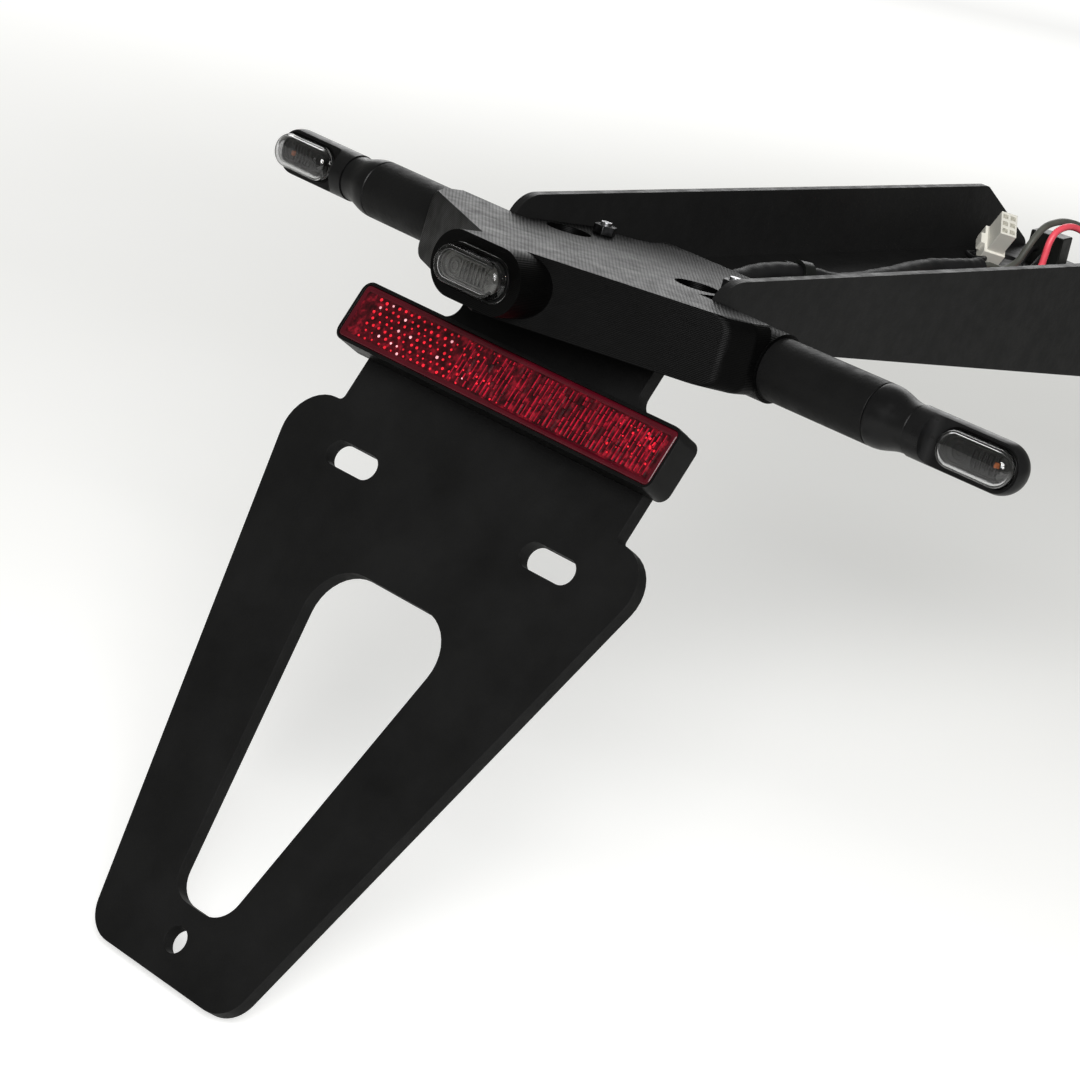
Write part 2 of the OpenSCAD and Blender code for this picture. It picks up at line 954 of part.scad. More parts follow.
module cable_tie() {
    along = loom_route[tie_step + 1] - loom_route[tie_step];
    spot = (loom_route[tie_step + 1] + loom_route[tie_step]) / 2;
    turn = [acos(unit(along).z), 0, atan2(along.y, along.x) + 90];
    color("black")
        translate(spot)
            rotate(turn)
                translate([0, 0, -1.8]) {
                    washer(loom_d + 2, loom_d + 0.1, 3.6);
                    translate([loom_d / 2 + 0.4, -2, -0.5])
                        cube([2.6, 4, 4.6]);
                }
}

// Two tails run to each connector
white_tails = [
    [[-8.6, -21, 6.9], [-8.6, -18.5, 6.9], [-10.8, -15.5, 6], [-14, -12.8, 4.6],
     [-18.3, -9.8, 3.4], [-20.4, -6.4, 3.4], [-20, -4.2, 3.4], [-18, -3.5, 3.9],
     [-16.7, -4, 5.5]],
    [[-7.2, -21, 8.2], [-7.2, -18.5, 8.2], [-9.6, -14.8, 7.8], [-13.5, -11.6, 6.4],
     [-18.6, -8.6, 5.2], [-22.4, -6, 5.2], [-22.9, -3, 4.8], [-20.8, -1.6, 5.4],
     [-18.5, -2.4, 7.4]]
];
black_tails = [
    [[-8.3, -21, 4.6], [-8.3, -18, 4.6], [-9.2, -12, 4.2], [-10, -5, 4], [-11, 4, 3.8],
     [-14, 11, 5.5], [-16, 16.2, 7.5], [-17, 20, 7.5]],
    [[-6.9, -21, 3.8], [-6.9, -18, 3.8], [-7.5, -11, 3.8], [-7.6, -4, 3.6], [-8, 4, 3.6],
     [-10, 11, 5.3], [-12, 17.2, 7.5], [-13, 20.9, 7.5]]
];

module connector_tails() {
    color("dimgray")
        for (route = concat(white_tails, black_tails))
            tube(route, tail_d, 8);
}

// A six way connector that leans up out of the tray; x runs along it
module white_connector() {
    color("ivory")
        translate(white_face)
            rotate([0, white_turn.y, white_turn.z])
                rotate([white_roll, 0, 0])
                    difference() {
                        union() {
                            translate([-10, -2.5, -4])
                                cube([10, 5, 8]);
                            translate([-15, -3.3, -4.7])
                                cube([6, 6.6, 9.4]);
                            translate([-13, -4.5, -1.8])
                                cube([4, 2, 3.6]);
                        }
                        for (row = [-1:1])
                            for (col = [-1, 1])
                                translate([-4, col * 1.15 - 0.75, row * 2.5 - 0.75])
                                    cube([5, 1.5, 1.5]);
                    }
}

module black_connector() {
    color(gloss_black)
        translate(black_centre)
            rotate([0, 0, black_turn])
                difference() {
                    cube(black_size, center = true);
                    translate([1.5 - black_size.x / 2, black_size.y / 2 - 4.5, -3.5])
                        cube([black_size.x - 3, 6, 7]);
                }
}

module black_wire() {
    color("black")
        tube(black_route, wire_d, 8);
}

module red_wire() {
    color("crimson")
        tube(red_route, wire_d, 8);
}

module supply_plug() {
    color(gloss_black)
        translate(plug_centre)
            difference() {
                cube(plug_size, center = true);
                for (s = [-1, 1])
                    translate([s * 1.5 - 1, -plug_size.y / 2 - 1, -1])
                        cube([2, plug_size.y / 2 - 1, 2]);
            }
}

plate_bracket();
reflector_housing();
reflector_lens();
reflector_studs();
reflector_washers();
reflector_nuts();
lamp_body();
tail_lens();
tail_lamp_board();
stalk(-1);  // stalk_left
stalk(1);  // stalk_right
collar(-1);  // collar_left
collar(1);  // collar_right
indicator_housing(-1);  // indicator_housing_left
indicator_housing(1);  // indicator_housing_right
indicator_lens(-1);  // indicator_lens_left
indicator_lens(1);  // indicator_lens_right
indicator_board(-1);  // indicator_board_left
indicator_board(1);  // indicator_board_right
indicator_lead(-1);  // indicator_lead_left
indicator_lead(1);  // indicator_lead_right
undertray();
tray_screws();
tray_washers();
tray_nuts();
tongue_bolts();
tongue_washers();
tongue_nuts();
loom();
cable_tie();
connector_tails();
white_connector();
black_connector();
black_wire();
red_wire();
supply_plug();
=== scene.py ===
import math
import random

import bmesh
import bpy
from mathutils import Matrix, Vector


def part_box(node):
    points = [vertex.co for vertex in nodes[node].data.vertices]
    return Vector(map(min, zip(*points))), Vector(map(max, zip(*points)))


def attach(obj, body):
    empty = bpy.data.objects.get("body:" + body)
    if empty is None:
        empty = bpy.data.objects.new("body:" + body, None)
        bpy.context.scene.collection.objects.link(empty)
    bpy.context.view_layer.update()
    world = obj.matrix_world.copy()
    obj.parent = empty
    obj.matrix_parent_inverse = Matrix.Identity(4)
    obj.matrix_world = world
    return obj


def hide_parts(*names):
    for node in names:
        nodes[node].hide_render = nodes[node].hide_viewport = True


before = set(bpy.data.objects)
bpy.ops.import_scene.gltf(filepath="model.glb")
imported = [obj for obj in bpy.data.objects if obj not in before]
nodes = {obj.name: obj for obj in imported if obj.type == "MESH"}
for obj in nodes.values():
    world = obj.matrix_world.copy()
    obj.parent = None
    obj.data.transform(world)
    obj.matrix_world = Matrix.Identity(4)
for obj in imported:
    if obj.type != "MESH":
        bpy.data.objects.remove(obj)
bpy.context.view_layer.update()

# Sizes are in millimetres and become metres with MM.
MM = 0.001

# The lamp body's frame: its origin is at the tray's rear edge.
TRAY_PITCH = math.radians(6.4)
REAR_FLOOR = 50.5
KNEE_Y = -135.0
BODY = (
    Matrix.Translation(Vector((
        0,
        KNEE_Y - REAR_FLOOR * math.cos(TRAY_PITCH),
        REAR_FLOOR * math.sin(TRAY_PITCH),
    )) * MM)
    @ Matrix.Rotation(-TRAY_PITCH, 4, "X")
    @ Matrix.Scale(MM, 4)
)
BODY_TOP = 10.9

# The number plate's frame: x across, y up the plate, z out of its rear face.
PLATE_ANGLE = math.radians(24.2)
PLATE_PLACE = (0, -31.5, -58.02)
PLATE = (
    BODY
    @ Matrix.Translation(Vector(PLATE_PLACE))
    @ Matrix.Rotation(math.pi / 2 - PLATE_ANGLE, 4, "X")
)

# The stalks' frame: x runs out along the stalk, -y looks to the rear.
STALK_X = 44.0
AXIS_Y = 5.4
AXIS_Z = 0.7
STALK_SWEEP = math.radians(2.1)
STALK_D = 15.9
STALK_END = 88.7
COLLAR_LEN = 11.4
HOUSING_D = 13.0
HOUSING_LEN = 31.0
HOUSING_X = STALK_END + COLLAR_LEN
TIP_X = HOUSING_X + HOUSING_LEN


def stalk_frame(side):
    """The frame of one stalk; the left one is the right one turned over."""
    turn = Matrix.Rotation(math.pi if side < 0 else 0, 4, "Y")
    return (
        BODY
        @ Matrix.Translation(Vector((0, 0, AXIS_Z)))
        @ turn
        @ Matrix.Translation(Vector((STALK_X, AXIS_Y, 0)))
        @ Matrix.Rotation(STALK_SWEEP, 4, "Z")
        @ Matrix.Translation(Vector((-STALK_X, 0, 0)))
    )


# Lamp lenses: a flat oval of two half circles
LENS_LEN = 21.6
LENS_H = 9.4
LENS_R = LENS_H / 2
LENS_ARM = (LENS_LEN - LENS_H) / 2
LENS_OUT = 4.2
NOSE_Y = -45.7
NOSE_Z = BODY_TOP - 8.4
LENS_X = TIP_X - 1.2 - LENS_LEN / 2
LENS_SEAT = 2.42

# Reflector
REFLECTOR_W = 114.0
REFLECTOR_H = 17.0
REFLECTOR_T = 8.7
REFLECTOR_RIM = 0.9
REFLECTOR_RISE = 33.6


# Camera

def make_camera():
    """The photograph's camera, a long lens from the right rear."""
    right = Vector((0.68666, 0.698156, 0.202672))
    up = Vector((-0.359799, 0.084123, 0.92923))
    back = Vector((0.631698, -0.710986, 0.30896))
    turn = Matrix((right, up, back)).transposed().to_4x4()
    place = Vector((0.558474, -0.815397, 0.213427))
    data = bpy.data.cameras.new("camera")
    data.lens = 115.5
    data.sensor_width = 36
    data.clip_start = 0.01
    cam = bpy.data.objects.new("camera", data)
    cam.matrix_world = Matrix.Translation(place) @ turn
    bpy.context.scene.collection.objects.link(cam)
    bpy.context.scene.camera = cam


make_camera()


# Shader helpers

class Shader:
    """A material's node tree with short calls for its usual nodes."""

    def __init__(self, name, color, roughness, specular=0.5, metallic=0.0):
        self.material = bpy.data.materials.new(name)
        self.material.use_nodes = True
        self.tree = self.material.node_tree
        self.bsdf = self.tree.nodes["Principled BSDF"]
        self.set("Base Color", (*color, 1))
        self.set("Roughness", roughness)
        self.set("Specular IOR Level", specular)
        self.set("Metallic", metallic)
        self.coords = self.node("ShaderNodeTexCoord").outputs["Object"]

    def set(self, socket, value):
        self.bsdf.inputs[socket].default_value = value

    def node(self, kind, **inputs):
        n = self.tree.nodes.new(kind)
        for key, value in inputs.items():
            n.inputs[key.replace("_", " ")].default_value = value
        return n

    def link(self, a, b):
        self.tree.links.new(a, b)

    def math(self, operation, a, b=None, c=None, clamp=False):
        n = self.tree.nodes.new("ShaderNodeMath")
        n.operation = operation
        n.use_clamp = clamp
        for socket, value in zip(n.inputs, (a, b, c)):
            if value is None:
                continue
            if isinstance(value, (int, float)):
                socket.default_value = value
            else:
                self.link(value, socket)
        return n.outputs[0]

    def noise(self, scale, detail, roughness=0.5):
        n = self.node("ShaderNodeTexNoise", Scale=scale, Detail=detail,
                      Roughness=roughness)
        self.link(self.coords, n.inputs["Vector"])
        return n.outputs["Fac"]

    def ramp(self, value, stops):
        n = self.tree.nodes.new("ShaderNodeValToRGB")
        ramp = n.color_ramp
        while len(ramp.elements) < len(stops):
            ramp.elements.new(0.5)
        for e, (place, color) in zip(ramp.elements, stops):
            e.position = place
            e.color = (*color, 1)
        self.link(value, n.inputs["Fac"])
        return n.outputs["Color"]

    def grey_ramp(self, value, low, high, start=0.0, end=1.0):
        return self.ramp(value, [(start, (low,) * 3), (end, (high,) * 3)])

    def bump(self, height, distance, strength=1.0):
        n = self.node("ShaderNodeBump", Strength=strength, Distance=distance)
        self.link(height, n.inputs["Height"])
        self.link(n.outputs["Normal"], self.bsdf.inputs["Normal"])

    def color(self, output):
        self.link(output, self.bsdf.inputs["Base Color"])

    def roughness(self, output):
        self.link(output, self.bsdf.inputs["Roughness"])

    def body_axes(self):
        """x, y and z in the pitched frame of the printed body."""
        turned = self.node("ShaderNodeMapping", Rotation=(TRAY_PITCH, 0, 0))
        self.link(self.coords, turned.inputs["Vector"])
        parts = self.tree.nodes.new("ShaderNodeSeparateXYZ")
        self.link(turned.outputs[0], parts.inputs[0])
        return parts.outputs

    def facing_up(self, low=0.75, high=0.95):
        """1 on faces that look up in the printed body's frame, else 0."""
        geometry = self.tree.nodes.new("ShaderNodeNewGeometry")
        turned = self.node("ShaderNodeMapping", Rotation=(TRAY_PITCH, 0, 0))
        turned.vector_type = "VECTOR"
        self.link(geometry.outputs["True Normal"], turned.inputs["Vector"])
        parts = self.tree.nodes.new("ShaderNodeSeparateXYZ")
        self.link(turned.outputs[0], parts.inputs[0])
        steep = self.math("SUBTRACT", parts.outputs["Z"], low)
        return self.math("DIVIDE", steep, high - low, clamp=True)

    def waves(self, value, pitch_mm):
        """Sine waves of that pitch, from 0 to 1."""
        turned = self.math("MULTIPLY", value, 2 * math.pi / (pitch_mm * MM))
        return self.math("MULTIPLY_ADD", self.math("SINE", turned), 0.5, 0.5)


def powder_coat(name, color, roughness, specular, cloudy=0.25):
    """Fine textured powder coat, a little uneven in colour and gloss."""
    s = Shader(name, (color,) * 3, roughness, specular)
    cloud = s.noise(45, 4)
    s.color(s.grey_ramp(cloud, color * (1 - cloudy), color * (1 + cloudy), 0.3, 0.7))
    s.roughness(s.grey_ramp(s.noise(260, 3), roughness - 0.07, roughness + 0.09, 0.35, 0.65))
    grain = s.noise(2600, 2, 0.6)
    orange_peel = s.noise(700, 2)
    s.bump(s.math("MULTIPLY_ADD", grain, 0.6, orange_peel), 0.00009, 0.7)
    return s.material


def printed(name, color, roughness, specular):
    """Printed plastic: layers up the walls and diagonal strands on top, where the strands are
    lighter as a painted sheen.
    """
    s = Shader(name, (color,) * 3, roughness, specular)
    x, y, z = s.body_axes()
    up = s.facing_up()
    wander = s.math("MULTIPLY", s.noise(30, 2), 0.0009)
    layers = s.waves(s.math("ADD", z, s.math("MULTIPLY", wander, 0.25)), 0.42)
    diagonal = s.math("MULTIPLY", s.math("ADD", x, y), 0.7071)
    strands = s.waves(s.math("ADD", diagonal, wander), 0.9)
    height = s.math("ADD", s.math("MULTIPLY", strands, up),
                    s.math("MULTIPLY", layers, s.math("SUBTRACT", 1.0, up)))
    patches = s.noise(70, 3)
    # On faces that look up the strands are painted lighter: the print's strands, with a painted
    # sheen.
    top = s.math("MULTIPLY", strands, s.math("MULTIPLY", up, 0.75))
    shade = s.math("ADD", s.math("MULTIPLY", patches, 0.5), top)
    s.color(s.grey_ramp(shade, color * 0.7, color * 2.2, 0.15, 1.0))
    s.roughness(s.grey_ramp(s.noise(220, 3), roughness - 0.06, roughness + 0.08, 0.3, 0.7))
    line = s.grey_ramp(strands, 0.4, 1.0, 0.08, 0.6)
    worn = s.grey_ramp(s.noise(38, 3), 0.72, 1.15, 0.35, 0.65)
    gloss = s.math("MULTIPLY_ADD", s.math("SUBTRACT", s.math("MULTIPLY", line, worn), 1.0),
                   up, 1.0)
    s.link(s.math("MULTIPLY", gloss, specular), s.bsdf.inputs["Specular IOR Level"])
    s.bump(height, 0.00008, 0.6)
    return s.material


def moulded(name, color, roughness, specular=0.5, grain=900, depth=0.00002, spread=1.35):
    """Moulded plastic or rubber with a light mould grain."""
    s = Shader(name, color, roughness, specular)
    cloud = s.noise(120, 3)
    dark = tuple(c / spread for c in color)
    light = tuple(min(1.0, c * spread) for c in color)
    s.color(s.ramp(cloud, [(0.3, dark), (0.7, light)]))
    s.roughness(s.grey_ramp(s.noise(400, 2), roughness - 0.05, roughness + 0.07, 0.3, 0.7))
    s.bump(s.noise(grain, 2), depth, 0.6)
    return s.material


def plated(name, color, roughness):
    """Zinc plate with fine scratches and dull patches."""
    s = Shader(name, color, roughness, metallic=1.0)
    dark = tuple(c * 0.7 for c in color)
    s.color(s.ramp(s.noise(300, 4), [(0.35, dark), (0.6, color)]))
    s.roughness(s.grey_ramp(s.noise(900, 3), roughness - 0.1, roughness + 0.12, 0.3, 0.7))
    s.bump(s.noise(1800, 2), 0.00002, 0.4)
    return s.material


def clear_lens(name, color, roughness=0.03):
    """Smoked clear plastic."""
    s = Shader(name, color, roughness)
    s.set("Transmission Weight", 1.0)
    s.set("IOR", 1.49)
    s.roughness(s.grey_ramp(s.noise(250, 3), roughness, roughness + 0.05, 0.4, 0.75))
    return s.material


def red_prisms(name):
    """Dark red reflector plastic whose cells catch the light unevenly, painted into its colour
    as painted glints.
    """
    s = Shader(name, (0.1, 0.002, 0.006), 0.36, 0.25)
    cells = s.noise(420, 2, 0.7)
    # Bright red spots in the colour are painted glints of the cells.
    s.color(s.ramp(cells, [(0.35, (0.018, 0.0006, 0.0015)), (0.55, (0.07, 0.002, 0.006)),
                           (0.75, (0.3, 0.008, 0.02))]))
    s.bump(s.noise(900, 2), 0.00012, 0.8)
    return s.material


def painted_glow(name, color, strength):
    """Reflector cells that glow a little with painted glints: painted retroreflection, no lamp.
    """
    s = Shader(name, color, 0.25, 0.3)
    glint = s.noise(500, 1, 0.4)
    dark = tuple(c * 0.45 for c in color)
    s.color(s.ramp(glint, [(0.35, dark), (0.6, color)]))
    s.set("Emission Color", (*color, 1))
    s.set("Emission Strength", strength)
    return s.material


POWDER = powder_coat("powder_coat_black", 0.009, 0.5, 0.1)
TRAY_COAT = powder_coat("powder_coat_tray", 0.0115, 0.46, 0.13, 0.12)
PRINT = printed("printed_grey", 0.0014, 0.34, 0.06)
STALK_PRINT = powder_coat("stalk_black", 0.0075, 0.44, 0.1, 0.15)
SMOOTH = moulded("smooth_black", (0.006, 0.006, 0.0062), 0.32, 0.2)
CUP = moulded("reflector_black", (0.004, 0.004, 0.004), 0.35, 0.16)
GASKET = moulded("gasket_rubber", (0.002, 0.002, 0.002), 0.4, 0.08)
RED_FIELD = red_prisms("red_prisms")
RED_EDGE = moulded("red_edge", (0.07, 0.003, 0.008), 0.16, 0.3, spread=1.2)
# These reflector parts glow a little: painted retroreflection and painted glints, they are no
# lamps.
RED_GLOW_DOTS = painted_glow("red_glow_dots", (1.0, 0.02, 0.04), 0.4)
RED_GLINTS = painted_glow("red_glints", (1.0, 0.45, 0.5), 0.6)
RED_GLOW_LINES = painted_glow("red_glow_lines", (0.5, 0.008, 0.03), 0.14)
SMOKE = clear_lens("smoked_lens", (0.55, 0.55, 0.55))
LAMP_SILVER = plated("lamp_silver", (0.36, 0.36, 0.34), 0.4)
LAMP_DARK = moulded("lamp_dark", (0.02, 0.02, 0.019), 0.3, 0.5)
AMBER = moulded("amber_diode", (0.6, 0.16, 0.04), 0.3, 0.5)
ZINC = plated("zinc", (0.62, 0.62, 0.64), 0.3)
BLACK_OXIDE = plated("black_oxide", (0.05, 0.05, 0.052), 0.42)
SLEEVE = moulded("loom_sleeve", (0.009, 0.009, 0.0095), 0.5, 0.2, grain=1500, depth=0.00006)
BLACK_WIRE = moulded("wire_black", (0.085, 0.088, 0.075), 0.4, 0.4)
RED_WIRE = moulded("wire_red", (1.0, 0.1, 0.14), 0.4, 0.5, spread=1.05)
WHITE_PLUG = moulded("plug_cream", (0.8, 0.78, 0.7), 0.42, 0.5, spread=1.03)
BLACK_PLUG = moulded("plug_black", (0.008, 0.009, 0.008), 0.4, 0.25)


# Mesh helpers

def dress(node, material, bevel, segments=3):
    """Gives a CAD node its material and rounds its sharp edges."""
    o = nodes[node]
    o.data.materials.clear()
    o.data.materials.append(material)
    for p in o.data.polygons:
        p.use_smooth = True
    weld = o.modifiers.new("weld", "WELD")
    weld.merge_threshold = 1e-6
    flat = o.modifiers.new("flat", "DECIMATE")
    flat.decimate_type = "DISSOLVE"
    flat.angle_limit = math.radians(0.6)
    if bevel:
        bevelled(o, bevel, segments)


def add_piece(name, verts, faces, material, place, smooth=True):
    """A new mesh piece; its points are in millimetres in the frame place."""
    mesh = bpy.data.meshes.new(name)
    mesh.from_pydata([place @ Vector(v) for v in verts], [], faces)
    bm = bmesh.new()
    bm.from_mesh(mesh)
    bmesh.ops.recalc_face_normals(bm, faces=bm.faces)
    bm.to_mesh(mesh)
    bm.free()
    mesh.materials.append(material)
    for p in mesh.polygons:
        p.use_smooth = smooth
    o = bpy.data.objects.new(name, mesh)
    bpy.context.scene.collection.objects.link(o)
    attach(o, "root")
    return o


def join_parts(parts):
    """Several (verts, faces) as one."""
    verts, faces = [], []
    for v, f in parts:
        start = len(verts)
        verts += v
        faces += [tuple(i + start for i in face) for face in f]
    return verts, faces


def loft(loops, close=False):
    """Quads between loops of equal length; the ends are capped unless closed."""
    n = len(loops[0])
    verts = [p for loop in loops for p in loop]
    faces = []
    spans = len(loops) if close else len(loops) - 1
    for i in range(spans):
        a, b = i * n, (i + 1) % len(loops) * n
        faces += [(a + k, a + (k + 1) % n, b + (k + 1) % n, b + k) for k in range(n)]
    if not close:
        last = (len(loops) - 1) * n
        faces.append(tuple(reversed(range(n))))
        faces.append(tuple(last + k for k in range(n)))
    return verts, faces


def oval(arm, r, y, steps=20):
    """A flat oval at depth y, as points."""
    points = []
    for side in (1, -1):
        for k in range(steps + 1):
            w = math.pi * k / steps - math.pi / 2
            points.append((side * (arm + r * math.cos(w)), y, side * r * math.sin(w)))
    return points


def block(low, high):
    """A box between two corners."""
    verts = [[(high, low)[k >> i & 1][i] for i in range(3)] for k in range(8)]
    faces = [(0, 1, 3, 2), (4, 6, 7, 5), (0, 4, 5, 1), (2, 3, 7, 6), (0, 2, 6, 4), (1, 5, 7, 3)]
    return verts, faces


def lathe(profile, steps=64):
    """A body of revolution about x from (x, radius) pairs, closed on itself."""
    loops = [
        [(x, r * math.cos(2 * math.pi * k / steps), r * math.sin(2 * math.pi * k / steps))
         for k in range(steps)]
        for x, r in profile
    ]
    return loft(loops, close=True)


def torus(centre, radius, tube, steps=28, sides=8):
    """A ring that looks along y."""
    loops = []
    for i in range(steps):
        w = 2 * math.pi * i / steps
        loops.append([
            (centre[0] + (radius + tube * math.cos(v)) * math.cos(w),
             centre[1] + tube * math.sin(v),
             centre[2] + (radius + tube * math.cos(v)) * math.sin(w))
            for v in (2 * math.pi * k / sides for k in range(sides))
        ])
    return loft(loops, close=True)


def smooth_route(points, steps=8):
    """A Catmull-Rom line through the points."""
    p = [Vector(q) for q in points]
    p = [2 * p[0] - p[1], *p, 2 * p[-1] - p[-2]]
    line = []
    for i in range(1, len(p) - 2):
        a, b, c, d = p[i - 1:i + 3]
        for k in range(steps):
            t = k / steps
            line.append(0.5 * (
                2 * b + (c - a) * t + (2 * a - 5 * b + 4 * c - d) * t * t
                + (3 * b - a - 3 * c + d) * t ** 3
            ))
    line.append(p[-2])
    return line


def sweep(line, radius, sides=16):
    """A tube along a line; radius is a number or a function of the share."""
    loops = []
    side = None
    for i, q in enumerate(line):
        t = (line[min(i + 1, len(line) - 1)] - line[max(i - 1, 0)]).normalized()
        side = (side or Vector((0, 0, 1)).cross(t)).normalized()
        side = (side - side.dot(t) * t).normalized()
        other = t.cross(side)
        r = radius(i / (len(line) - 1)) if callable(radius) else radius
        loops.append([
            q + r * (side * math.cos(w) + other * math.sin(w))
            for w in (2 * math.pi * k / sides for k in range(sides))
        ])
    return loft(loops)


def bevelled(o, width, segments=2, angle=32):
    """Rounds a piece's edges that turn by more than the angle."""
    b = o.modifiers.new("bevel", "BEVEL")
    b.width = width * MM
    b.segments = segments
    b.limit_method = "ANGLE"
    b.angle_limit = math.radians(angle)
    b.use_clamp_overlap = True
    even = o.modifiers.new("even", "WEIGHTED_NORMAL")
    even.mode = "FACE_AREA"
    even.weight = 80


WORLD = Matrix.Scale(MM, 4)

# Wires, the free cords

WIRE_D = 2.0
BLACK_ROUTE = [
    (-5.2, -21, 7.1), (-5.2, -18, 7.1), (-4.5, -12, 6), (-4, -7, 8),
    (-4, -4, 11.5), (-4, -1, 15.5), (-4, 3, 18.7), (-4, 9, 19.9),
    (-4, 15, 19.5), (-4, 20, 18.2), (-3, 24.5, 15.8), (0, 27.5, 12.5),
    (5, 28.5, 9), (10.5, 27.5, 6.3), (14.3, 24, 5.2), (15.5, 20, 5),
    (15.5, 16, 5),
]
RED_ROUTE = [
    (-5.2, -21, 4.7), (-5.2, -18, 4.7), (-3, -12, 4), (-0.5, -6, 4.5),
    (0.8, -2, 7.5), (1, -1.2, 11.5), (1, -0.6, 15.5), (1, 1.5, 18.6),
    (1, 6, 20), (1, 11, 19.5), (2, 16, 17.5), (4.5, 20, 14),
    (7.5, 22.5, 10.3), (10.5, 23, 7.4), (12.3, 20.5, 5.5), (12.5, 19, 5),
    (12.5, 16, 5),
]


def wire(name, route, node, material):
    """A short free wire as a curve."""
    line = [WORLD @ p for p in smooth_route(route)]
    data = bpy.data.curves.new(name, "CURVE")
    data.dimensions = "3D"
    data.bevel_depth = WIRE_D / 2 * MM
    data.bevel_resolution = 5
    data.use_fill_caps = True
    spline = data.splines.new("POLY")
    spline.points.add(len(line) - 1)
    for point, q in zip(spline.points, line):
        point.co = (*q, 1)
    spline.use_smooth = True
    data.materials.append(material)
    o = bpy.data.objects.new(name, data)
    bpy.context.scene.collection.objects.link(o)
    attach(o, "root")
    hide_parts(node)


wire("wire_of_black_lead", BLACK_ROUTE, "black_wire", BLACK_WIRE)
wire("wire_of_red_lead", RED_ROUTE, "red_wire", RED_WIRE)


# CAD nodes that are shown as they are

dress("plate_bracket", POWDER, 0.45, 3)
dress("undertray", TRAY_COAT, 0.4, 3)
dress("lamp_body", PRINT, 0.35, 3)
dress("reflector_housing", CUP, 0.6, 3)
for side in ("left", "right"):
    dress("stalk_" + side, STALK_PRINT, 0.25, 2)
    dress("indicator_housing_" + side, SMOOTH, 0.5, 3)
    dress("indicator_lead_" + side, BLACK_WIRE, 0)
for node in ("reflector_studs", "reflector_washers", "reflector_nuts", "tray_washers",
             "tray_nuts", "tongue_bolts"):
    dress(node, ZINC, 0.2, 2)
dress("tongue_nuts", BLACK_OXIDE, 0.2, 2)
dress("tongue_washers", BLACK_OXIDE, 0.1, 2)
dress("tray_screws", BLACK_OXIDE, 0.3, 2)
dress("cable_tie", BLACK_PLUG, 0.25, 2)
dress("white_connector", WHITE_PLUG, 0.25, 2)
dress("black_connector", BLACK_PLUG, 0.4, 2)
dress("supply_plug", BLACK_PLUG, 0.4, 2)


# Collars

COLLAR_BORE_R = 2.1
COLLAR_SEAM = 0.45
COLLAR_STEPS = 18


def collar(side, word):
    """A smooth collar with a seam at each end, from stalk to housing."""
    wide, narrow = STALK_D / 2, HOUSING_D / 2 - 0.25
    profile = [(0, COLLAR_BORE_R), (0, wide - COLLAR_SEAM), (0.12, wide - 0.3),
               (0.3, wide - 0.05)]
    for k in range(COLLAR_STEPS + 1):
        t = k / COLLAR_STEPS
        soft = t * t * t * (t * (6 * t - 15) + 10)
        profile.append((COLLAR_SEAM + t * (COLLAR_LEN - 1.0), wide - (wide - narrow) * soft))
    profile += [(COLLAR_LEN - 0.35, narrow - 0.05), (COLLAR_LEN - 0.15, narrow - 0.4),
                (COLLAR_LEN, narrow - 0.5), (COLLAR_LEN, COLLAR_BORE_R)]
    verts, faces = lathe(profile)
    place = stalk_frame(side) @ Matrix.Translation(Vector((STALK_END, 0, 0)))
    o = add_piece("collar_shell_" + word, verts, faces, SMOOTH, place)
    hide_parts("collar_" + word)
    o.data.shade_smooth()


# Lamp lenses and what lies behind them

LENS_WALL = 1.0
LENS_FOOT = 0.2
RIM_THICK = 0.95


def quarter(r, y, bend, steps=6):
    """A rounded edge as (radius, depth) pairs, from its side to its face."""
    turns = [math.radians(90 * k / steps) for k in range(steps + 1)]
    return [(r + bend * math.cos(w), y - bend * math.sin(w)) for w in turns]


def lens_sections(round_r, rim_r):
    """The lens's outer and inner sections, each from its foot to its face."""
    face = -LENS_OUT
    outer = quarter(LENS_R - round_r, face + round_r, round_r)
    hollow = max(round_r - LENS_WALL, 0.4)
    inner = quarter(LENS_R - LENS_WALL - hollow, face + LENS_WALL + hollow, hollow)
    if rim_r:
        outer = [(LENS_R + rim_r, RIM_THICK), (LENS_R + rim_r, 0.1), (LENS_R, 0.0)] + outer
        inner = [(LENS_R - LENS_WALL, RIM_THICK), (LENS_R - LENS_WALL, LENS_FOOT)] + inner
    else:
        outer = [(LENS_R, LENS_FOOT)] + outer
        inner = [(LENS_R - LENS_WALL, LENS_FOOT)] + inner
    return outer, inner


def make_lens(name, node, place, round_r, rim_r=0.0):
    """A hollow lens that looks along -y, with its outer edge rounded."""
    outer, inner = lens_sections(round_r, rim_r)
    loops = [oval(LENS_ARM, r, y) for r, y in outer[::-1] + inner]
    verts, faces = loft(loops)
    o = add_piece(name, verts, faces, SMOKE, place)
    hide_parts(node)


RIB_COUNT = 9
RIB_SPAN = 10.8
RIB_HALF = 2.35
RING_CLEAR = 2.4


